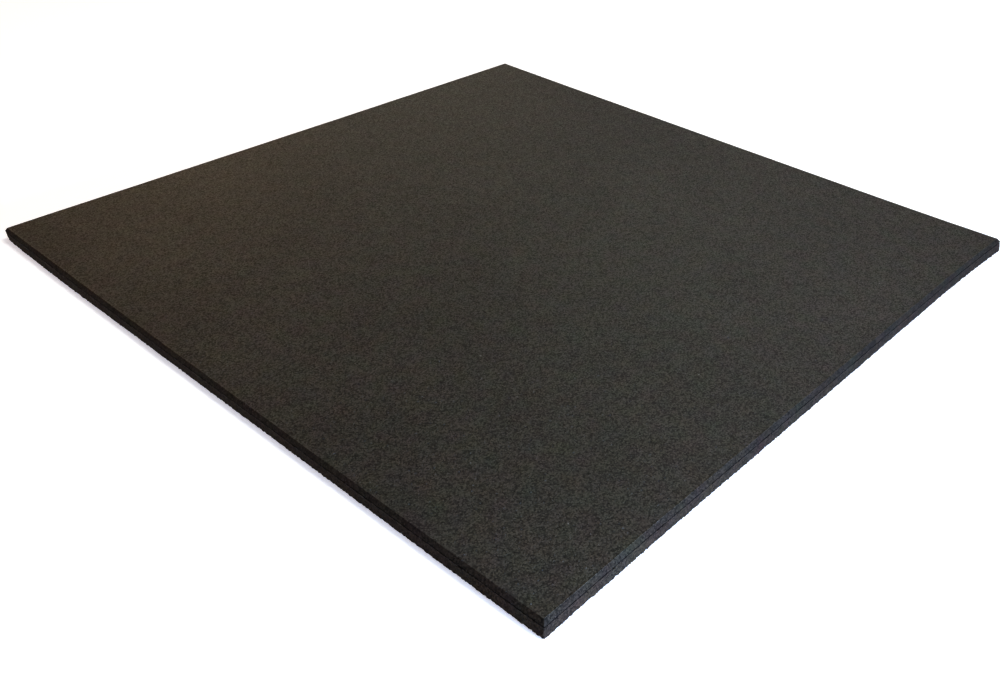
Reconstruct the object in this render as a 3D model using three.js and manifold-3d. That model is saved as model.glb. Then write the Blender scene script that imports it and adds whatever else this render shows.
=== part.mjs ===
// Rubber floor tile: one flat slab moulded from bonded rubber crumb, with a chamfer along all
// four top edges and a plain underside. Several are laid edge to edge to make a floor.
// Millimetres, +Z up. The origin is the centre of the underside, and the sides run along X and Y.

import * as THREE from "three";
import { mergeVertices } from "three/addons/utils/BufferGeometryUtils.js";
import Module from "manifold-3d";

const wasm = await Module();
wasm.setup();

// Driving dimensions
const TILE_LENGTH = 1000; // along X, between the upright side faces
const TILE_WIDTH = 1000; // along Y, between the upright side faces
const TILE_THICKNESS = 20; // underside to wearing face
const CHAMFER_RUN = 4; // how far the chamfer reaches in across the top
const CHAMFER_DROP = 5; // how far the chamfer comes down each side

// The upright side face ends where the chamfer starts.
const SIDE_FACE_HEIGHT = TILE_THICKNESS - CHAMFER_DROP;

// Colour and finish of the rubber
const RUBBER_COLOUR = 0x2e2b28;
const RUBBER_ROUGHNESS = 0.82;

// A closed three.js geometry as a solid that can be cut.
function solidFrom(geometry) {
  const bare = geometry.clone();
  bare.deleteAttribute("normal");
  bare.deleteAttribute("uv");
  const merged = mergeVertices(bare);
  return new wasm.Manifold(
    new wasm.Mesh({
      numProp: 3,
      vertProperties: merged.attributes.position.array,
      triVerts: new Uint32Array(merged.index.array),
    }),
  );
}

// A solid back as a three.js geometry, flat shaded.
function geometryFrom(solid) {
  const mesh = solid.getMesh();
  const indexed = new THREE.BufferGeometry();
  indexed.setAttribute("position", new THREE.BufferAttribute(mesh.vertProperties, mesh.numProp));
  indexed.setIndex(new THREE.BufferAttribute(mesh.triVerts, 1));
  const geometry = indexed.toNonIndexed();
  geometry.computeVertexNormals();
  return geometry;
}

// A rectangle centred on the origin.
function rectangle(length, width) {
  const outline = new THREE.Shape();
  outline.moveTo(-length / 2, -width / 2);
  outline.lineTo(length / 2, -width / 2);
  outline.lineTo(length / 2, width / 2);
  outline.lineTo(-length / 2, width / 2);
  outline.closePath();
  return outline;
}

// The wearing face's outline, extruded with a bevel that grows out to the side faces. The bevel
// comes at both ends of an extrusion, so this block has a second one below the underside.
function blockChamferedBothEnds() {
  const wearingFace = rectangle(TILE_LENGTH - 2 * CHAMFER_RUN, TILE_WIDTH - 2 * CHAMFER_RUN);
  return new THREE.ExtrudeGeometry(wearingFace, {
    depth: SIDE_FACE_HEIGHT,
    bevelEnabled: true,
    bevelThickness: CHAMFER_DROP,
    bevelSize: CHAMFER_RUN,
    bevelSegments: 1,
  });
}

// Everything below the underside, a little wider than the tile.
function blockBelowUnderside() {
  const overhang = CHAMFER_RUN;
  const depth = 2 * CHAMFER_DROP;
  const block = new THREE.BoxGeometry(TILE_LENGTH + 2 * overhang, TILE_WIDTH + 2 * overhang, depth);
  return block.translate(0, 0, -depth / 2);
}

// The whole tile: the bevelled block with its lower bevel cut off square at the underside.
function slab() {
  return solidFrom(blockChamferedBothEnds()).subtract(solidFrom(blockBelowUnderside()));
}

const rubber = new THREE.MeshStandardMaterial({
  name: "rubber",
  color: RUBBER_COLOUR,
  roughness: RUBBER_ROUGHNESS,
  metalness: 0,
});

const tile = new THREE.Mesh(geometryFrom(slab()), rubber);
tile.name = "rubber_tile";

const part = new THREE.Group();
part.add(tile);

export default part;
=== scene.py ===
"""A square floor tile of bonded rubber crumb, dressed for its photograph.

The tile is one moulded slab. Its mesh is built here as loops that run round the tile, from the
underside up over the side, the chamfer and the top arris, and the crumb that the slab is bonded
from is laid on it as granules. Metres, +Z up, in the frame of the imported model.
"""

import logging
import math
from dataclasses import dataclass
from enum import Enum
from typing import Iterator, Mapping, Sequence

import bmesh
import bpy
import numpy as np
from mathutils import Matrix, Vector


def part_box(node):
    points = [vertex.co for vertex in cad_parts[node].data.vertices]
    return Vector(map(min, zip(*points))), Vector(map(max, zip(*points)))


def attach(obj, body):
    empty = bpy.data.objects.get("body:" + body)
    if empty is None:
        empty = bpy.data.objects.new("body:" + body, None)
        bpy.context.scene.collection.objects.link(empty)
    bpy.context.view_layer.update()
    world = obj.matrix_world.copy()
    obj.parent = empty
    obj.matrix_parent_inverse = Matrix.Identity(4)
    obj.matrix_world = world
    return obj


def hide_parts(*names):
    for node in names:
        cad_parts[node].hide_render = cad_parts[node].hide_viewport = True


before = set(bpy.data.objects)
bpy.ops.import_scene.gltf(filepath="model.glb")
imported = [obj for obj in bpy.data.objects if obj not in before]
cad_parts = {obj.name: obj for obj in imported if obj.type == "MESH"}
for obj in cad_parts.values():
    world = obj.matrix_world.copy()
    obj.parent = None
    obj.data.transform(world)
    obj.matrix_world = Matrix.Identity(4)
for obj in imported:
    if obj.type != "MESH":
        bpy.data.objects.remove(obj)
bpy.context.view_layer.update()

log = logging.getLogger("rubber_tile")

SLAB_NODE = "rubber_tile"
BODY = "root"
MM = 0.001

# A noise colour swings by half of one either way about its middle, so a swing is doubled.
NOISE_MIDDLE = (0.5, 0.5, 0.5)
NOISE_ROUGHNESS = 0.55

Colour = tuple[float, float, float]
Pair = tuple[float, float]


# Node trees


class Value:
    """A number, vector or colour that a node gives, with arithmetic that adds nodes."""

    def __init__(self, bench: "Bench", socket: bpy.types.NodeSocket) -> None:
        """Keeps a socket together with its tree.

        Args:
            bench: the bench whose tree holds the socket.
            socket: the output that gives the value.
        """
        self.bench = bench
        self.socket = socket

    def _maths(self, operation: str, *terms: object) -> "Value":
        """One Math node.

        Args:
            operation: the node's operation, in Blender's word for it.
            terms: its inputs in order, values or plain numbers.

        Returns:
            The node's result.
        """
        return self.bench.node("ShaderNodeMath", {"operation": operation}, dict(enumerate(terms)))

    def __add__(self, other: object) -> "Value":
        """The sum."""
        return self._maths("ADD", self, other)

    __radd__ = __add__

    def __sub__(self, other: object) -> "Value":
        """The difference."""
        return self._maths("SUBTRACT", self, other)

    def __rsub__(self, other: object) -> "Value":
        """The difference, from the right."""
        return self._maths("SUBTRACT", other, self)

    def __mul__(self, other: object) -> "Value":
        """The product."""
        return self._maths("MULTIPLY", self, other)

    __rmul__ = __mul__

    def __truediv__(self, other: object) -> "Value":
        """The quotient."""
        return self._maths("DIVIDE", self, other)

    def __rtruediv__(self, other: object) -> "Value":
        """The quotient, from the right."""
        return self._maths("DIVIDE", other, self)

    def __gt__(self, other: object) -> "Value":
        """One where this is greater, otherwise zero."""
        return self._maths("GREATER_THAN", self, other)

    def __lt__(self, other: object) -> "Value":
        """One where this is less, otherwise zero."""
        return self._maths("LESS_THAN", self, other)

    def at_least(self, least: float) -> "Value":
        """This share, squeezed so that zero gives the least."""
        return self * (1 - least) + least

    def around_one(self, spread: float) -> "Value":
        """This share, spread evenly about one."""
        return self * spread + (1 - spread / 2)

    def ramp(self, low: float, high: float, to_low: float = 0.0, to_high: float = 1.0) -> "Value":
        """A smooth step from one level to another.

        Args:
            low: where the step starts.
            high: where it ends.
            to_low: the level before the step.
            to_high: the level after it.

        Returns:
            The stepped value.
        """
        ends = {"From Min": low, "From Max": high, "To Min": to_low, "To Max": to_high}
        settings = {"interpolation_type": "SMOOTHSTEP"}
        return self.bench.node("ShaderNodeMapRange", settings, {"Value": self, **ends})


class Bench:
    """A node tree in the making."""

    def __init__(self, tree: bpy.types.NodeTree) -> None:
        """Takes up a tree.

        Args:
            tree: the material's or modifier's tree, which is filled here.
        """
        self.tree = tree

    def make(self, kind: str, settings: Mapping[str, object], inputs: Mapping) -> bpy.types.Node:
        """Adds one node.

        Args:
            kind: the node's type, in Blender's word for it.
            settings: what is set on the node itself, before its inputs.
            inputs: the values or links of its sockets, by name or number.

        Returns:
            The node.
        """
        node = self.tree.nodes.new(kind)
        for name, setting in settings.items():
            setattr(node, name, setting)
        for name, given in inputs.items():
            socket = self._live(node.inputs, name)
            for value in given if isinstance(given, list) else [given]:
                if isinstance(value, Value):
                    self.tree.links.new(value.socket, socket)
                else:
                    socket.default_value = value
        return node

    @staticmethod
    def _live(sockets: Sequence[bpy.types.NodeSocket], name: str | int | None) -> bpy.types.NodeSocket:
        """Finds a socket among those that the node's settings leave in use.

        Args:
            sockets: the node's inputs or outputs.
            name: the socket's name or its number, or None for the first in use.

        Returns:
            The socket.
        """
        if isinstance(name, int):
            return sockets[name]
        return next(socket for socket in sockets if socket.enabled and name in (None, socket.name))

    def node(self, kind: str, settings: Mapping, inputs: Mapping, out: str | None = None) -> Value:
        """Adds one node and gives one of its outputs.

        Args:
            kind: the node's type.
            settings: what is set on the node itself.
            inputs: the values or links of its sockets.
            out: the output's name, or None for the first in use.

        Returns:
            The output.
        """
        return Value(self, self._live(self.make(kind, settings, inputs).outputs, out))

    def vector(
        self, operation: str, *terms: object, scale: object = None, out: str | None = None
    ) -> Value:
        """One Vector Math node.

        Args:
            operation: the node's operation.
            terms: its vectors, in order.
            scale: what to scale by, for the operation that scales.
            out: the output's name, or None for the first in use.

        Returns:
            The node's result.
        """
        inputs: dict = dict(enumerate(terms))
        if scale is not None:
            inputs["Scale"] = scale
        return self.node("ShaderNodeVectorMath", {"operation": operation}, inputs, out)

    def object_place(self) -> Value:
        """Object coordinates."""
        return self.node("ShaderNodeTexCoord", {}, {}, "Object")

    def height_of(self, place: object) -> Value:
        """The Z of a place."""
        return self.node("ShaderNodeSeparateXYZ", {}, {"Vector": place}, "Z")

    def mix(self, factor: object, first: object, second: object) -> Value:
        """Two colours mixed.

        Args:
            factor: how much of the second shows.
            first: the colour at zero.
            second: the colour at one.

        Returns:
            The mixed colour.
        """
        ends = [(*end, 1.0) if isinstance(end, tuple) else end for end in (first, second)]
        inputs = {"Factor": factor, "A": ends[0], "B": ends[1]}
        return self.node("ShaderNodeMix", {"data_type": "RGBA"}, inputs)

    def noise(self, place: object, size: float, detail: float = 2.0, out: str = "Fac") -> Value:
        """Soft noise.

        Args:
            place: where it is read.
            size: the width of one of its lumps, in metres.
            detail: how many finer layers it has.
            out: the output wanted.

        Returns:
            The noise.
        """
        inputs = {"Vector": place, "Scale": 1 / size, "Detail": detail, "Roughness": NOISE_ROUGHNESS}
        return self.node("ShaderNodeTexNoise", {}, inputs, out)


class GeometryBench(Bench):
    """A Geometry Nodes tree with named inputs."""

    def __init__(self, name: str) -> None:
        """Starts a tree that takes a shape and gives one back.

        Args:
            name: the tree's name.
        """
        super().__init__(bpy.data.node_groups.new(name, "GeometryNodeTree"))
        for way in ("INPUT", "OUTPUT"):
            self.tree.interface.new_socket("Geometry", in_out=way, socket_type="NodeSocketGeometry")
        self.given = self.tree.nodes.new("NodeGroupInput")

    def size(self, name: str, kind: str = "NodeSocketFloat") -> Value:
        """A named input of the tree.

        Args:
            name: the input's name.
            kind: its type of socket.

        Returns:
            The input's value.
        """
        self.tree.interface.new_socket(name, in_out="INPUT", socket_type=kind)
        return Value(self, self.given.outputs[name])

    def shape(self) -> Value:
        """The shape that the tree is given."""
        return Value(self, self.given.outputs["Geometry"])

    def spot(self) -> Value:
        """Where each point is."""
        return self.node("GeometryNodeInputPosition", {}, {})

    def upward(self, rise: Value) -> Value:
        """A vector that points straight up by a rise."""
        return self.node("ShaderNodeCombineXYZ", {}, {"Z": rise})

    def moved(self, shape: Value, offset: Value) -> Value:
        """A shape with its points moved."""
        return self.node("GeometryNodeSetPosition", {}, {"Geometry": shape, "Offset": offset})

    def smooth(self, shape: Value) -> Value:
        """A shape with its faces shaded smooth."""
        return self.node("GeometryNodeSetShadeSmooth", {}, {"Geometry": shape, "Shade Smooth": True})

    def random(self, seed: object, low: object, high: object) -> Value:
        """A random number for each point.

        Args:
            seed: the seed, a value or number.
            low: the least it may be.
            high: the most.

        Returns:
            The number.
        """
        inputs = {"Min": low, "Max": high, "Seed": seed}
        return self.node("FunctionNodeRandomValue", {"data_type": "FLOAT"}, inputs)

    def finish(self, shape: Value, material: bpy.types.Material) -> None:
        """Ends the tree in Realize Instances and Set Material.

        Args:
            shape: the geometry that the tree has made.
            material: what it is made of.
        """
        real = self.node("GeometryNodeRealizeInstances", {}, {"Geometry": shape})
        dressed = self.node("GeometryNodeSetMaterial", {}, {"Geometry": real, "Material": material})
        self.make("NodeGroupOutput", {}, {"Geometry": dressed})

    def result(
        self, carrier: bpy.types.Object, sizes: Mapping[str, object], name: str
    ) -> bpy.types.Object:
        """Runs the tree on an object and makes a plain object of what comes out.

        Args:
            carrier: the object that the tree starts from.
            sizes: a value for each named input.
            name: the new object's name.

        Returns:
            The new object.
        """
        modifier = carrier.modifiers.new(self.tree.name, "NODES")
        modifier.node_group = self.tree
        for item in self.tree.interface.items_tree:
            if item.in_out == "INPUT" and item.name in sizes:
                modifier[item.identifier] = sizes[item.name]
        graph = bpy.context.evaluated_depsgraph_get()
        mesh = bpy.data.meshes.new_from_object(carrier.evaluated_get(graph))
        carrier.modifiers.remove(modifier)
        mesh.name = name
        return in_scene(name, mesh)


def in_scene(name: str, data: bpy.types.ID) -> bpy.types.Object:
    """Puts a new object into the scene.

    Args:
        name: the object's name.
        data: its mesh, light or camera.

    Returns:
        The object.
    """
    thing = bpy.data.objects.new(name, data)
    bpy.context.scene.collection.objects.link(thing)
    return thing


def blank_material(name: str) -> bpy.types.Material:
    """A material with an empty node tree.

    Args:
        name: the material's name.

    Returns:
        The material.
    """
    material = bpy.data.materials.new(name)
    material.use_nodes = True
    material.node_tree.nodes.clear()
    return material


# Finishes


@dataclass(frozen=True)
class Grain:
    """The pattern of the crumb, as it is read at each point.

    Attributes:
        place: object coordinates.
        reach: how far the point is from its granule's middle.
        own: a number for each granule.
        grit: the finest grain.
        flat_top: one on a granule's flat top and zero in the gap beside it.
    """

    place: Value
    reach: Value
    own: Value
    grit: Value
    flat_top: Value


@dataclass(frozen=True)
class CrumbRubber:
    """Near-black rubber crumb, pressed and bonded, as a speckled colour over a pebbled relief.

    The wearing face was pressed against the mould, so its granules have a slight shine. The gaps
    between them and the sides are dull. The sides and the chamfer are coloured darker than the face
    as painted shade, and the colour is darkened further as painted shade in the groove under the
    chamfer and in the gaps between granules.
    """

    name: str = "crumb_rubber"
    face_colour: Colour = (0.0282, 0.0243, 0.0178)
    # painted shade: the chamfer and side colours are set darker than the face's, standing in for the
    # shade on them
    shaded_chamfer_colour: Colour = (0.0184, 0.0142, 0.0102)
    shaded_side_colour: Colour = (0.0198, 0.0136, 0.0092)
    # painted shade: how far the colour is darkened in the groove under the chamfer; the darkening
    # starts, is full and fades out at these distances below and about the shoulder
    groove_shade_darkness: float = 0.80
    groove_shade_start: float = 2.2 * MM
    groove_shade_full: float = 1.32 * MM
    groove_shade_end: float = 0.44 * MM
    granule_width: float = 1.7 * MM
    granule_spread: float = 1.35
    gap_start: float = 0.45
    gap_end: float = 0.80
    # painted shade: how far the colour is darkened in the gaps between granules
    gap_shade_darkness: float = 0.75
    grit_width: float = 0.8 * MM
    grit_spread: float = 0.8
    mottle_width: float = 26 * MM
    mottle_strength: float = 0.42
    patch_width: float = 170 * MM
    patch_range: Pair = (0.3, 0.7)
    patch_strength: float = 0.08
    fleck_colour: Colour = (0.16, 0.155, 0.145)
    fleck_pitch: float = 14 * MM
    fleck_share: float = 0.035
    fleck_radius: float = 0.05
    fleck_edge: float = 0.08
    face_roughness: float = 0.40
    face_specular: float = 0.46
    least_shine: float = 0.40
    gap_shine: float = 0.6
    side_roughness: float = 0.85
    side_specular: float = 0.06
    relief: float = 0.09 * MM
    least_pebble: float = 0.5
    grit_relief: float = 0.5
    arris_blend: float = 0.6 * MM
    arris_end: float = 0.12 * MM

    def build(self, top: float, shoulder: float) -> bpy.types.Material:
        """Makes the material.

        Args:
            top: the height of the wearing face.
            shoulder: the height at which the chamfer starts.

        Returns:
            The material.
        """
        material = blank_material(self.name)
        bench = Bench(material.node_tree)
        grain = self._grain(bench)
        height = bench.height_of(grain.place)
        on_face = height.ramp(top - self.arris_blend, top - self.arris_end)
        # painted shade: below the face, the colour is the edge colour, which is set darker than the
        # face's
        base = bench.mix(on_face, self._shaded_edge_colour(bench, height, shoulder), self.face_colour)
        colour = self._speckled(bench, grain, base)
        pebbles = grain.flat_top * grain.own.at_least(self.least_pebble) + grain.grit * self.grit_relief
        relief = {"Strength": 1.0, "Distance": self.relief, "Height": pebbles}
        bump = bench.node("ShaderNodeBump", {}, relief)
        dull = self._shader(bench, colour, bump, self.side_roughness, self.side_specular)
        pressed = self._shader(bench, colour, bump, self.face_roughness, self.face_specular)
        shine = grain.own.at_least(self.least_shine) * grain.flat_top.at_least(self.gap_shine)
        surface = bench.node("ShaderNodeMixShader", {}, {0: on_face * shine, 1: dull, 2: pressed})
        bench.make("ShaderNodeOutputMaterial", {}, {"Surface": surface})
        return material

    def _shader(
        self, bench: Bench, colour: Value, bump: Value, roughness: float, specular: float
    ) -> Value:
        """One of the two finishes that are mixed.

        Args:
            bench: the material's bench.
            colour: the crumb's colour.
            bump: the relief's normal.
            roughness: how rough the finish is.
            specular: how strongly it reflects.

        Returns:
            The shader.
        """
        inputs = {
            "Base Color": colour,
            "Normal": bump,
            "Roughness": roughness,
            "Specular IOR Level": specular,
        }
        return bench.node("ShaderNodeBsdfPrincipled", {}, inputs)

    def _grain(self, bench: Bench) -> Grain:
        """The crumb's pattern.

        Args:
            bench: the material's bench.

        Returns:
            The pattern.
        """
        place = bench.object_place()
        reach, own = self._cells(bench, place, self.granule_width)
        grit = bench.noise(place, self.grit_width)
        return Grain(place, reach, own, grit, reach.ramp(self.gap_start, self.gap_end, 1.0, 0.0))

    def _cells(self, bench: Bench, place: Value, width: float) -> tuple[Value, Value]:
        """Packed cells.

        Args:
            bench: the material's bench.
            place: object coordinates.
            width: the width of a cell.

        Returns:
            How far each point is from its cell's middle, and a number for each cell.
        """
        settings = {"feature": "F1", "voronoi_dimensions": "3D"}
        inputs = {"Vector": place, "Scale": 1 / width, "Randomness": 1.0}
        cell = bench.make("ShaderNodeTexVoronoi", settings, inputs)
        colour = Value(bench, cell.outputs["Color"])
        own = bench.node("ShaderNodeSeparateColor", {}, {"Color": colour})
        return Value(bench, cell.outputs["Distance"]), own

    def _shaded_edge_colour(self, bench: Bench, height: Value, shoulder: float) -> Value:
        """The colour of the side and the chamfer, set darker than the face as painted shade, with
        painted shade in the groove between them.

        Args:
            bench: the material's bench.
            height: how high the point is.
            shoulder: the height at which the chamfer starts.

        Returns:
            The colour.
        """
        on_chamfer = height.ramp(shoulder - self.arris_blend, shoulder)
        from_below = height.ramp(shoulder - self.groove_shade_start, shoulder - self.groove_shade_full)
        to_above = height.ramp(shoulder - self.groove_shade_end, shoulder + self.groove_shade_end, 1.0, 0.0)
        plain = bench.mix(on_chamfer, self.shaded_side_colour, self.shaded_chamfer_colour)
        # painted shade: the colour is darkened in the groove under the chamfer
        light = 1 - from_below * to_above * self.groove_shade_darkness
        return bench.vector("SCALE", plain, scale=light)

    def _speckled(self, bench: Bench, grain: Grain, base: Value) -> Value:
        """The crumb's colour, with its mottling, speckle, pale flecks and painted shade in the gaps
        between granules.

        Args:
            bench: the material's bench.
            grain: the crumb's pattern.
            base: the colour before its speckle.

        Returns:
            The colour.
        """
        drift = bench.noise(grain.place, self.mottle_width, 1.0, "Color")
        strength = (self.mottle_strength,) * 3
        level = (1 - self.mottle_strength / 2,) * 3
        tint = bench.vector("MULTIPLY_ADD", drift, strength, level)
        mottled = bench.vector("MULTIPLY", base, tint)
        # painted shade: the colour is darkened in the gaps between granules
        gap = grain.reach.ramp(self.gap_start, self.gap_end, 1.0, self.gap_shade_darkness)
        speckle = grain.own.around_one(self.granule_spread) * gap
        cloud = bench.noise(grain.place, self.patch_width)
        patch = cloud.ramp(*self.patch_range, 1 - self.patch_strength, 1 + self.patch_strength)
        tone = speckle * grain.grit.around_one(self.grit_spread) * patch
        toned = bench.vector("SCALE", mottled, scale=tone)
        return bench.mix(self._flecks(bench, grain.place), toned, self.fleck_colour)

    def _flecks(self, bench: Bench, place: Value) -> Value:
        """A few pale specks.

        Args:
            bench: the material's bench.
            place: object coordinates.

        Returns:
            The specks' mask.
        """
        reach, own = self._cells(bench, place, self.fleck_pitch)
        return reach.ramp(self.fleck_radius, self.fleck_edge, 1.0, 0.0) * (own < self.fleck_share)


@dataclass(frozen=True)
class PaleFloor:
    """The studio's matt pale floor, which glows a little from below as a light table does.

    The lamps fade with distance from the tile, so the floor glows more there to stay pale.
    """

    name: str = "pale_floor"
    colour: Colour = (0.95, 0.95, 0.95)
    roughness: float = 0.9
    near_glow: Colour = (0.478, 0.489, 0.520)
    far_glow: Colour = (0.800, 0.805, 0.820)
    far_start: float = 3.0
    far_end: float = 9.0

    def build(self) -> bpy.types.Material:
        """Makes the material.

        Returns:
            The material.
        """
        material = blank_material(self.name)
        bench = Bench(material.node_tree)
        away = bench.vector("LENGTH", bench.object_place(), out="Value")
        glow = bench.mix(away.ramp(self.far_start, self.far_end), self.near_glow, self.far_glow)
        inputs = {
            "Base Color": (*self.colour, 1.0),
            "Roughness": self.roughness,
            "Specular IOR Level": 0.0,
            "Emission Color": glow,
            "Emission Strength": 1.0,
        }
        surface = bench.node("ShaderNodeBsdfPrincipled", {}, inputs)
        bench.make("ShaderNodeOutputMaterial", {}, {"Surface": surface})
        return material


# The slab


class Side(Enum):
    """The tile's sides, by how they face in plan, as the photograph shows them."""

    NEAR_RIGHT = (0.0, -1.0)
    FAR_RIGHT = (1.0, 0.0)
    FAR_LEFT = (0.0, 1.0)
    NEAR_LEFT = (-1.0, 0.0)

    @property
    def out(self) -> np.ndarray:
        """The way that the side faces."""
        return np.array(self.value)

    @property
    def along(self) -> np.ndarray:
        """The way along the side, anticlockwise round the tile."""
        return np.array((-self.value[1], self.value[0]))


@dataclass(frozen=True)
class Arris:
    """A corner of the slab's section.

    Attributes:
        inset: how far it lies in from the side face.
        height: its height above the floor.
        radius: how far it is rounded.
        relief: how far the crumb may sink the surface there.
    """

    inset: float
    height: float
    radius: float
    relief: float


@dataclass(frozen=True)
class Bow:
    """How far out the foot and the rim of a side's middle stand from a straight line."""

    side: Side
    foot: float
    rim: float


@dataclass(frozen=True)
class Flare:
    """How far the foot and the rim of a corner lie off the true square, in X and Y.

    The corner is told by the signs of its own X and Y.
    """

    corner: tuple[int, int]
    foot: Pair
    rim: Pair


class Shell:
    """A closed surface in the making: its points, the relief that each may have, and its faces."""

    def __init__(self) -> None:
        """Starts with nothing."""
        self.sheets: list[np.ndarray] = []
        self.reliefs: list[np.ndarray] = []
        self.faces: list[tuple[int, ...]] = []
        self._count = 0

    def keep(self, points: np.ndarray, relief: float = 0.0) -> np.ndarray:
        """Adds points.

        Args:
            points: the points.
            relief: how far the crumb may sink the surface at them.

        Returns:
            Their numbers.
        """
        first = self._count
        self.sheets.append(points)
        self.reliefs.append(np.full(len(points), relief))
        self._count += len(points)
        return np.arange(first, self._count)

    def grid(self, half: np.ndarray, height: float, steps: int, up: bool) -> np.ndarray:
        """Adds a flat grid that closes the surface above or below.

        Args:
            half: half its length and width.
            height: its height.
            steps: how many steps each side has.
            up: whether it faces up.

        Returns:
            The numbers of the points on its edge, in the order of a loop.
        """
        across = np.linspace(-1, 1, steps + 1)
        xs, ys = np.meshgrid(across * half[0], across * half[1])
        points = np.column_stack([xs.ravel(), ys.ravel(), np.full(xs.size, height)])
        number = self.keep(points).reshape(steps + 1, steps + 1)
        corners = [number[:-1, :-1], number[:-1, 1:], number[1:, 1:], number[1:, :-1]]
        quads = np.stack(corners, -1).reshape(-1, 4)
        self._fill(quads if up else quads[:, ::-1])
        return np.concatenate([number[0, :-1], number[:-1, -1], number[-1, :0:-1], number[:0:-1, 0]])

    def bridge(self, first: np.ndarray, second: np.ndarray) -> None:
        """Adds the faces between two loops, of which one may have several steps to the other's one.

        Args:
            first: the numbers of the loop that comes first along the section.
            second: the numbers of the next.
        """
        if len(first) == len(second):
            self._fill(np.stack([first, np.roll(first, -1), np.roll(second, -1), second], -1))
            return
        narrowing = len(first) > len(second)
        fine, coarse = (first, second) if narrowing else (second, first)
        ratio = len(fine) // len(coarse)
        middle = ratio // 2
        for step, (here, there) in enumerate(zip(coarse, np.roll(coarse, -1))):
            run = [fine[(step * ratio + part) % len(fine)] for part in range(ratio + 1)]
            fan = [(run[k], run[k + 1], here if k < middle else there) for k in range(ratio)]
            fan.append((run[middle], there, here))
            self._fill(fan if narrowing else [corners[::-1] for corners in fan])

    def _fill(self, faces: Sequence[Sequence[int]]) -> None:
        """Adds faces, each by the numbers of its points."""
        self.faces += [tuple(map(int, corners)) for corners in faces]


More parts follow.
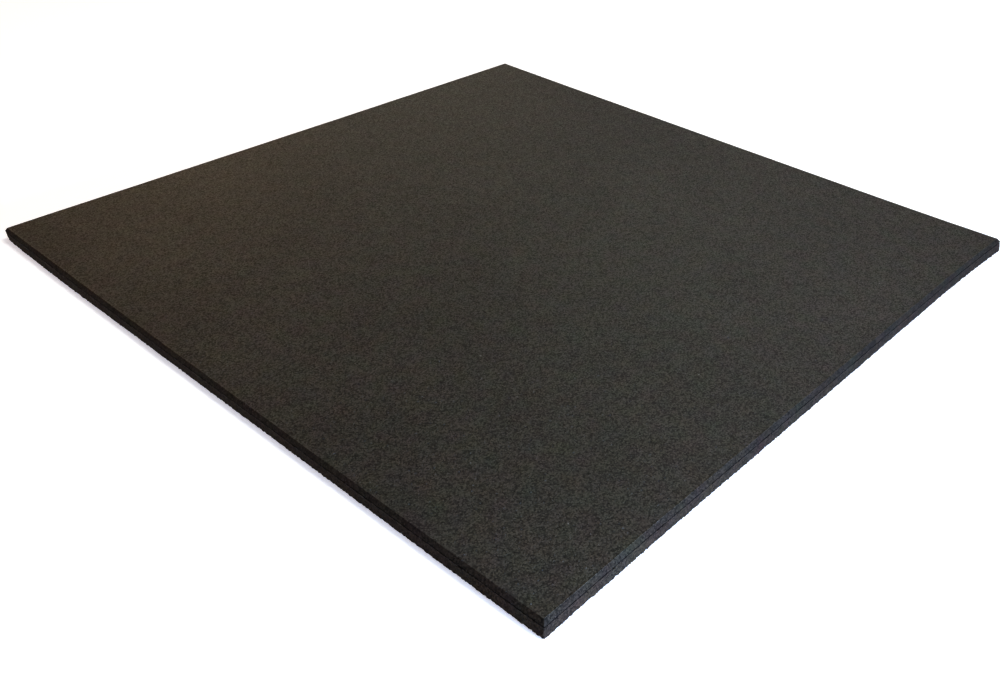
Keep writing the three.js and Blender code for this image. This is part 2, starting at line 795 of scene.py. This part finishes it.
@dataclass
class Slab:
    """The moulded slab, as loops round its section and a grid on each flat face."""

    low: Vector
    high: Vector
    chamfer_run: float = 4.0 * MM
    chamfer_drop: float = 5.0 * MM
    foot_spread: float = 1.5 * MM
    foot_radius: float = 0.6 * MM
    groove_height: float = 1.5 * MM
    groove_depth: float = 0.9 * MM
    groove_radius: float = 0.15 * MM
    rim_radius: float = 0.6 * MM
    flat_rim: float = 4.0 * MM
    face_inset: float = 14.0 * MM
    underside_inset: float = 40.0 * MM
    underside_ring_inset: float = 10.0 * MM
    flat_margin: float = 0.05 * MM
    corner_radius: float = 1.0 * MM
    least_corner_radius: float = 0.2 * MM
    loop_steps: int = 625
    coarse_steps: int = 125
    underside_steps: int = 25
    arris_steps: int = 2
    half_corner_steps: int = 2
    row_height: float = 2.1 * MM
    foot_relief: float = 1.3 * MM
    side_relief: float = 0.5 * MM
    chamfer_relief: float = 0.16 * MM
    rim_relief: float = 0.08 * MM
    lump_width: float = 3.6 * MM
    lump_detail: float = 2.5
    lump_range: Pair = (0.28, 0.72)
    sway: float = 0.25 * MM
    sway_width: float = 110 * MM
    wander: float = 0.5 * MM
    wander_width: float = 90 * MM
    bows: Sequence[Bow] = (
        Bow(Side.NEAR_LEFT, -0.3 * MM, 2.4 * MM),
        Bow(Side.FAR_LEFT, -0.8 * MM, -0.8 * MM),
        Bow(Side.FAR_RIGHT, -0.8 * MM, -0.8 * MM),
    )
    bow_reach: float = 40 * MM
    flares: Sequence[Flare] = (
        Flare((1, -1), (4.5 * MM, -5.5 * MM), (4.5 * MM, -3.6 * MM)),
        Flare((-1, -1), (0.3 * MM, -1.6 * MM), (0.3 * MM, -1.6 * MM)),
        Flare((-1, 1), (3.5 * MM, -3.0 * MM), (0.0, 0.0)),
    )
    flare_reach: float = 200 * MM

    @property
    def half(self) -> np.ndarray:
        """Half the slab's length and width."""
        return np.array(((self.high.x - self.low.x) / 2, (self.high.y - self.low.y) / 2))

    @property
    def thickness(self) -> float:
        """How thick the slab is."""
        return self.high.z - self.low.z

    @property
    def shoulder(self) -> float:
        """The height at which the chamfer starts."""
        return self.thickness - self.chamfer_drop

    def build(self, material: bpy.types.Material) -> bpy.types.Object:
        """Makes the slab's mesh, with its crumbled relief.

        Args:
            material: the rubber.

        Returns:
            The slab, standing for the CAD tile.
        """
        shell = self._shell()
        mesh = bpy.data.meshes.new("smooth_slab")
        mesh.from_pydata(self._bowed(np.concatenate(shell.sheets)).tolist(), [], shell.faces)
        relief = mesh.attributes.new("relief", "FLOAT", "POINT")
        relief.data.foreach_set("value", np.concatenate(shell.reliefs))
        carrier = in_scene("smooth_slab", mesh)
        sizes = {
            "Lump Width": self.lump_width,
            "Sway": self.sway,
            "Sway Width": self.sway_width,
            "Wander": self.wander,
            "Wander Width": self.wander_width,
            "Face Height": self.high.z,
        }
        slab = self._relief_tree(material).result(carrier, sizes, "tile_slab")
        bpy.data.objects.remove(carrier)
        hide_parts(SLAB_NODE)
        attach(slab, BODY)
        return slab

    def _shell(self) -> Shell:
        """The whole closed surface, with straight sides and before its relief.

        Returns:
            The surface.
        """
        shell = Shell()
        under = self.half - self.underside_inset
        rings = [shell.grid(under, 0.0, self.underside_steps, up=False)]
        rings.append(shell.keep(self._underside_ring()))
        for (inset, height), relief in self._section():
            rings.append(shell.keep(self._loop(inset, height), relief))
        face = self.half - self.face_inset
        rings.append(shell.grid(face, self.thickness, self.coarse_steps, up=True))
        for first, second in zip(rings, rings[1:]):
            shell.bridge(first, second)
        return shell

    def _section(self) -> list[tuple[Pair, float]]:
        """The slab's section, from the underside round to the wearing face.

        Returns:
            The inset and height of each loop, with its relief.
        """
        groove = self.shoulder - self.groove_height
        groove_middle = (groove + self.shoulder) / 2
        corners = [
            Arris(self.flat_rim, 0.0, 0.0, 0.0),
            Arris(-self.foot_spread, 0.0, self.foot_radius, self.foot_relief),
            Arris(0.0, groove, self.groove_radius, self.side_relief),
            Arris(self.groove_depth, groove_middle, self.groove_radius, self.chamfer_relief),
            Arris(0.0, self.shoulder, self.groove_radius, self.chamfer_relief),
            Arris(self.chamfer_run, self.thickness, self.rim_radius, self.rim_relief),
            Arris(self.chamfer_run + self.flat_rim, self.thickness, 0.0, 0.0),
        ]
        first, last = corners[0], corners[-1]
        rows = [((first.inset, first.height), first.relief)]
        for before, corner, after in zip(corners, corners[1:], corners[2:]):
            for spot in self._rounded(before, corner, after):
                rows += self._rows(rows[-1], spot, corner.relief)
        rows += self._rows(rows[-1], (last.inset, last.height), last.relief)
        return rows

    def _rounded(self, before: Arris, corner: Arris, after: Arris) -> Iterator[Pair]:
        """The points of one rounded arris.

        Args:
            before: the corner before it.
            corner: the corner to round.
            after: the corner after it.

        Yields:
            The inset and height of each point, along the section.
        """
        here = Vector((corner.inset, corner.height))
        back = (Vector((before.inset, before.height)) - here).normalized()
        on = (Vector((after.inset, after.height)) - here).normalized()
        half = back.angle(on) / 2
        centre = here + (back + on).normalized() * (corner.radius / math.sin(half))
        first = (here + back * (corner.radius / math.tan(half)) - centre).normalized()
        last = (here + on * (corner.radius / math.tan(half)) - centre).normalized()
        for step in range(self.arris_steps + 1):
            spot = centre + first.slerp(last, step / self.arris_steps) * corner.radius
            yield spot.x, spot.y

    def _rows(self, last: tuple[Pair, float], spot: Pair, relief: float) -> list[tuple[Pair, float]]:
        """The rows on the way from the last row of the section to a new point of it.

        Args:
            last: the last row, with its relief.
            spot: the new point.
            relief: the relief at the new point.

        Returns:
            The rows, the last of them at the new point.
        """
        (x, z), start = last
        count = max(1, round(math.hypot(spot[0] - x, spot[1] - z) / self.row_height))
        rows = []
        for row in range(1, count + 1):
            share = row / count
            place = (x + (spot[0] - x) * share, z + (spot[1] - z) * share)
            rows.append((place, start + (relief - start) * share))
        return rows

    def _loop(self, inset: float, height: float) -> np.ndarray:
        """One loop round the tile, from the middle of one corner's arc to the next.

        Args:
            inset: how far it lies in from the sides.
            height: its height.

        Returns:
            Its points, going round anticlockwise as seen from above.
        """
        radius = max(self.corner_radius - inset, self.least_corner_radius)
        bends = self.half_corner_steps
        turns = [math.pi / 4 * step / bends for step in range(1, bends + 1)]
        straight = self.loop_steps - 2 * bends
        points = []
        for side in Side:
            reach = abs(side.out @ self.half) - inset
            half = abs(side.along @ self.half) - inset - radius
            bend = [
                (reach - radius * (1 - math.cos(turn)), half + radius * math.sin(turn)) for turn in turns
            ]
            points += [side.out * far - side.along * wide for far, wide in reversed(bend)]
            for step in range(straight + 1):
                points.append(side.out * reach + side.along * half * (2 * step / straight - 1))
            points += [side.out * far + side.along * wide for far, wide in bend[:-1]]
        return np.column_stack([np.array(points), np.full(len(points), height)])

    def _underside_ring(self) -> np.ndarray:
        """A plain square loop of coarse steps on the underside.

        Returns:
            Its points, in the order of the other loops.
        """
        steps = self.coarse_steps
        points = []
        for side in Side:
            reach = abs(side.out @ self.half) - self.underside_ring_inset
            half = abs(side.along @ self.half) - self.underside_ring_inset
            for step in range(steps):
                points.append(side.out * reach + side.along * half * (2 * step / steps - 1))
        return np.column_stack([np.array(points), np.zeros(len(points))])

    def _bowed(self, points: np.ndarray) -> np.ndarray:
        """The points with the sides bowed and the corners flared, as a trimmed sheet's are.

        Args:
            points: the straight-sided surface.

        Returns:
            The bowed surface.
        """
        plan = points[:, :2]
        rise = points[:, 2] / self.thickness
        moved = points.copy()
        for bow in self.bows:
            out, along = bow.side.out, bow.side.along
            near = np.clip(1 - (abs(out @ self.half) - plan @ out) / self.bow_reach, 0, 1)
            share = plan @ along / abs(along @ self.half)
            way = bow.foot + (bow.rim - bow.foot) * rise
            moved[:, :2] += np.outer(way * near * (1 - share**2), out)
        for flare in self.flares:
            away = np.linalg.norm(plan - self.half * flare.corner, axis=1) / self.flare_reach
            shift = np.outer(1 - rise, flare.foot) + np.outer(rise, flare.rim)
            moved[:, :2] += shift * (np.clip(1 - away, 0, 1) ** 2)[:, None]
        return moved

    def _relief_tree(self, material: bpy.types.Material) -> GeometryBench:
        """The tree that crumbles the sides, wanders the edges and sways the wearing face.

        Args:
            material: the rubber.

        Returns:
            The tree.
        """
        bench = GeometryBench("crumbled_relief")
        lump, sway, sway_width = map(bench.size, ("Lump Width", "Sway", "Sway Width"))
        wander, wander_width, top = map(bench.size, ("Wander", "Wander Width", "Face Height"))
        place = bench.spot()
        normal = bench.node("GeometryNodeInputNormal", {}, {})
        attribute = {"data_type": "FLOAT"}
        depth = bench.node("GeometryNodeInputNamedAttribute", attribute, {"Name": "relief"})
        lumps = bench.noise(place, lump, self.lump_detail).ramp(*self.lump_range)
        sunk = bench.vector("SCALE", normal, scale=lumps * depth * -1.0)
        on_top = bench.height_of(place) > top - self.flat_margin
        swayed = bench.upward(on_top * bench.noise(place, sway_width, 1.0) * sway * -1.0)
        drift = bench.noise(place, wander_width, 1.0, "Color")
        swing = bench.vector("MULTIPLY", bench.vector("SUBTRACT", drift, NOISE_MIDDLE), (1.0, 1.0, 0.0))
        wandered = bench.vector("SCALE", swing, scale=wander * 2.0)
        offset = bench.vector("ADD", bench.vector("ADD", sunk, swayed), wandered)
        bench.finish(bench.smooth(bench.moved(bench.shape(), offset)), material)
        return bench


# The granules


@dataclass
class Crumb:
    """Granules bedded in one face of the slab.

    A granule's height (flatness), least breadth (slimmest), depth in the surface (sunk) and
    unevenness are shares of its width. The stretch is the least and greatest Y that the granules
    reach. They start at the least height above the floor and lie only where the surface looks the
    face's way. A few kinds of granule are shaped by noise with lumps of the given share.
    """

    name: str
    facing: tuple[float, float, float]
    stretch: Pair = (-1.0, 1.0)
    width: float = 1.9 * MM
    spread: float = 0.45
    spacing: float = 1.75 * MM
    flatness: float = 0.6
    slimmest: float = 0.7
    sunk: float = 0.2
    least_height: float = 0.5 * MM
    least_facing: float = 0.85
    floor_gap: float = 0.02 * MM
    seed: int = 1
    shapes: int = 3
    shape_shift: float = 3.0
    lump: float = 0.7
    unevenness: float = 0.35

    def build(self, slab: bpy.types.Object, material: bpy.types.Material) -> bpy.types.Object:
        """Scatters the granules over the slab's face.

        Args:
            slab: the finished slab.
            material: the rubber.

        Returns:
            The granules, as one piece.
        """
        sizes = {
            "Facing": self.facing,
            "From": self.stretch[0],
            "To": self.stretch[1],
            "Least Facing": self.least_facing,
            "Least Height": self.least_height,
            "Width": self.width,
            "Spread": self.spread,
            "Spacing": self.spacing,
            "Flatness": self.flatness,
            "Sunk": self.sunk,
            "Seed": self.seed,
        }
        piece = self._tree(material).result(slab, sizes, self.name)
        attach(piece, BODY)
        return piece

    def _tree(self, material: bpy.types.Material) -> GeometryBench:
        """The tree that scatters the granules.

        Args:
            material: the rubber.

        Returns:
            The tree.
        """
        bench = GeometryBench(f"{self.name}_scatter")
        facing = bench.size("Facing", "NodeSocketVector")
        start, end = map(bench.size, ("From", "To"))
        least_facing, least_height = map(bench.size, ("Least Facing", "Least Height"))
        width, spread, spacing = map(bench.size, ("Width", "Spread", "Spacing"))
        flatness, sunk = map(bench.size, ("Flatness", "Sunk"))
        seed = bench.size("Seed", "NodeSocketInt")
        normal = bench.node("GeometryNodeInputNormal", {}, {})
        place = bench.spot()
        towards = bench.vector("DOT_PRODUCT", normal, facing, out="Value")
        across = bench.node("ShaderNodeSeparateXYZ", {}, {"Vector": place}, "Y")
        within = (across > start) * (across < end)
        chosen = (towards > least_facing) * (bench.height_of(place) > least_height) * within
        scattering = {
            "Mesh": bench.shape(),
            "Selection": chosen,
            "Distance Min": spacing,
            "Density Max": 1.0 / (spacing * spacing),
            "Seed": seed,
        }
        settings = {"distribute_method": "POISSON"}
        scatter = bench.make("GeometryNodeDistributePointsOnFaces", settings, scattering)
        spots, out, upright = (
            Value(bench, scatter.outputs[name]) for name in ("Points", "Normal", "Rotation")
        )
        down = bench.vector("SCALE", out, scale=width * sunk * -1.0)
        size = width * bench.random(seed, 1.0 - spread, 1.0 + spread)
        slim = size * bench.random(seed + 1, self.slimmest, 1.0)
        scale = bench.node("ShaderNodeCombineXYZ", {}, {"X": size, "Y": slim, "Z": size * flatness})
        spin = bench.upward(bench.random(seed + 2, 0.0, math.tau))
        turn = {"Rotation": upright, "Rotate By": spin}
        turned = bench.node("FunctionNodeRotateRotation", {"rotation_space": "LOCAL"}, turn)
        granules = {
            "Points": bench.moved(spots, down),
            "Instance": self._granules(bench),
            "Pick Instance": True,
            "Rotation": turned,
            "Scale": scale,
        }
        placed = bench.node("GeometryNodeInstanceOnPoints", {}, granules)
        bench.finish(self._above_floor(bench, placed), material)
        return bench

    def _above_floor(self, bench: GeometryBench, granules: Value) -> Value:
        """Flattens whatever would reach below the floor.

        Args:
            bench: the tree's bench.
            granules: the placed granules.

        Returns:
            The granules, none of them below the floor.
        """
        real = bench.node("GeometryNodeRealizeInstances", {}, {"Geometry": granules})
        height = bench.height_of(bench.spot())
        lift = bench.upward((height < self.floor_gap) * (self.floor_gap - height))
        return bench.moved(real, lift)

    def _granules(self, bench: GeometryBench) -> Value:
        """A few uneven granules, one unit across, to pick from.

        Args:
            bench: the tree's bench.

        Returns:
            The granules, as instances.
        """
        kinds = []
        for number in range(self.shapes):
            round_one = {"Radius": 0.5, "Subdivisions": 1}
            ball = bench.node("GeometryNodeMeshIcoSphere", {}, round_one, "Mesh")
            read_at = bench.vector("ADD", bench.spot(), (self.shape_shift * number, 0.0, 0.0))
            drift = bench.noise(read_at, self.lump, 1.0, "Color")
            swing = bench.vector("SUBTRACT", drift, NOISE_MIDDLE)
            offset = bench.vector("SCALE", swing, scale=2 * self.unevenness)
            uneven = bench.smooth(bench.moved(ball, offset))
            kinds.append(bench.node("GeometryNodeGeometryToInstance", {}, {"Geometry": uneven}))
        return bench.node("GeometryNodeJoinGeometry", {}, {"Geometry": kinds})


@dataclass
class FaceCrumb(Crumb):
    """Flat, well-spaced granules that show in the pressed wearing face."""

    facing: tuple[float, float, float] = (0.0, 0.0, 1.0)
    width: float = 2.2 * MM
    spread: float = 0.4
    spacing: float = 6.4 * MM
    flatness: float = 0.35
    sunk: float = 0.10


# The studio


@dataclass(frozen=True)
class Softbox:
    """An oblong area light that faces the middle of the tile.

    Its bearing, in degrees, goes round from +X towards +Y, and its rise is in degrees above the
    floor. Its size is its width and height, in metres, and its power is in watts.
    """

    name: str
    bearing: float
    rise: float
    size: Pair
    power: float
    tint: Colour
    distance: float = 3.6

    def build(self) -> None:
        """Sets the light up, unseen by the camera itself."""
        data = bpy.data.lights.new(self.name, "AREA")
        data.shape = "RECTANGLE"
        data.size, data.size_y = self.size
        data.energy = self.power
        data.color = self.tint
        light = in_scene(self.name, data)
        bearing, rise = math.radians(self.bearing), math.radians(self.rise)
        level = Vector((math.cos(bearing), math.sin(bearing), 0.0)) * math.cos(rise)
        place = (level + Vector((0.0, 0.0, math.sin(rise)))) * self.distance
        light.location = place
        light.rotation_euler = (-place).to_track_quat("-Z", "Y").to_euler()
        light.visible_camera = False


@dataclass
class Studio:
    """The pale floor and dome, the soft lights and the dim surroundings."""

    floor: PaleFloor = PaleFloor()
    dome: PaleFloor = PaleFloor("pale_dome", colour=(0.0, 0.0, 0.0))
    floor_half: float = 30.0
    dome_segments: int = 48
    dome_rings: int = 24
    surroundings: Colour = (0.004, 0.004, 0.004)
    softboxes: Sequence[Softbox] = (
        Softbox("overhead", 300.0, 68.0, (1.2, 1.2), 83.0, (1.0, 1.0, 0.94)),
        Softbox("low_window", 261.0, 8.0, (0.9, 0.4), 116.0, (0.335, 0.54, 1.0), 2.25),
        Softbox("corner_glow", 245.0, 3.0, (0.3, 0.08), 2.6, (0.61, 0.81, 1.0), 1.0),
        Softbox("warm_lamp", 110.0, 32.0, (1.1, 1.0), 23.3, (1.0, 0.485, 0.18)),
        Softbox("right_glow", 10.0, 32.0, (1.1, 1.0), 4.4, (1.0, 0.95, 0.94)),
        Softbox("middle_glow", 30.0, 32.0, (1.1, 1.0), 3.8, (0.83, 1.0, 0.74)),
        Softbox("low_right_glow", 30.0, 17.0, (1.2, 0.8), 1.1, (1.0, 0.65, 0.93)),
        Softbox("low_far_glow", 50.0, 17.0, (1.2, 0.8), 3.4, (1.0, 0.87, 0.68)),
        Softbox("low_left_glow", 70.0, 17.0, (1.2, 0.8), 4.95, (1.0, 0.72, 0.45)),
    )

    def build(self) -> None:
        """Sets up the whole studio."""
        self._lay_floor()
        self._raise_dome()
        for softbox in self.softboxes:
            softbox.build()
        scene = bpy.context.scene
        scene.world = bpy.data.worlds.new("surroundings")
        scene.world.use_nodes = True
        background = scene.world.node_tree.nodes["Background"]
        background.inputs["Color"].default_value = (*self.surroundings, 1.0)
        scene.view_settings.view_transform = "Standard"

    def _lay_floor(self) -> None:
        """Lays the floor under the tile."""
        half = self.floor_half
        corners = [(-half, -half, 0), (half, -half, 0), (half, half, 0), (-half, half, 0)]
        mesh = bpy.data.meshes.new("studio_floor")
        mesh.from_pydata(corners, [], [(0, 1, 2, 3)])
        mesh.materials.append(self.floor.build())
        floor = in_scene("studio_floor", mesh)

    def _raise_dome(self) -> None:
        """Closes the floor off with a wide dome in the tone of its far part, which lights nothing."""
        shell = bmesh.new()
        counts = {"u_segments": self.dome_segments, "v_segments": self.dome_rings}
        bmesh.ops.create_uvsphere(shell, radius=self.floor_half, **counts)
        mesh = bpy.data.meshes.new("studio_dome")
        shell.to_mesh(mesh)
        shell.free()
        mesh.materials.append(self.dome.build())
        dome = in_scene("studio_dome", mesh)
        dome.visible_diffuse = False
        dome.visible_glossy = False
        dome.visible_shadow = False


@dataclass(frozen=True)
class Viewpoint:
    """The camera, where the photograph was taken from.

    Its place and angles were worked out from the tile's corners in the photograph, with the tile
    taken as one metre square.

    It looks down from the horizon, heads from +Y towards +X and rolls by degrees. The lens and
    the sensor are in millimetres, and the shift is a share of the picture's width.
    """

    place: tuple[float, float, float] = (-0.973894, -0.886322, 0.729254)
    down: float = 34.614558
    heading: float = 49.763275
    roll: float = 2.908334
    lens: float = 37.606
    sensor: float = 36.0
    shift_x: float = -0.043955

    def build(self) -> None:
        """Makes the camera the scene's own."""
        data = bpy.data.cameras.new("viewpoint")
        data.lens = self.lens
        data.sensor_width = self.sensor
        data.shift_x = self.shift_x
        down, heading, roll = map(math.radians, (self.down, self.heading, self.roll))
        level = Vector((math.sin(heading), math.cos(heading), 0.0))
        ahead = level * math.cos(down) - Vector((0, 0, math.sin(down)))
        right = Vector((math.cos(heading), -math.sin(heading), 0.0))
        up = right.cross(ahead)
        rolled_right = right * math.cos(roll) + up * math.sin(roll)
        rolled_up = up * math.cos(roll) - right * math.sin(roll)
        turn = Matrix((rolled_right, rolled_up, -ahead)).transposed().to_4x4()
        camera = in_scene("viewpoint", data)
        camera.matrix_world = Matrix.Translation(self.place) @ turn
        bpy.context.scene.camera = camera


# Putting it together


def report(piece: bpy.types.Object) -> None:
    """Logs how many triangles a piece has."""
    triangles = sum(len(face.vertices) - 2 for face in piece.data.polygons)
    log.info("%s: %d triangles", piece.name, triangles)


def main() -> None:
    """Builds the camera, the slab, its granules and the studio, in that order."""
    logging.basicConfig(level=logging.INFO, format="%(name)s %(message)s")
    Viewpoint().build()
    low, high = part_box(SLAB_NODE)
    tile = Slab(low, high)
    rubber = CrumbRubber().build(tile.thickness, tile.shoulder)
    slab = tile.build(rubber)
    report(slab)
    crumbs: list[Crumb] = [
        Crumb(f"crumb_{side.name.lower()}", (*side.value, 0.0), seed=number)
        for number, side in enumerate(Side, 1)
    ]
    crumbs.append(FaceCrumb("crumb_face_near", stretch=(-1.0, 0.0), seed=11))
    crumbs.append(FaceCrumb("crumb_face_far", stretch=(0.0, 1.0), seed=12))
    for crumb in crumbs:
        report(crumb.build(slab, rubber))
    Studio().build()


if __name__ == "__main__":
    main()
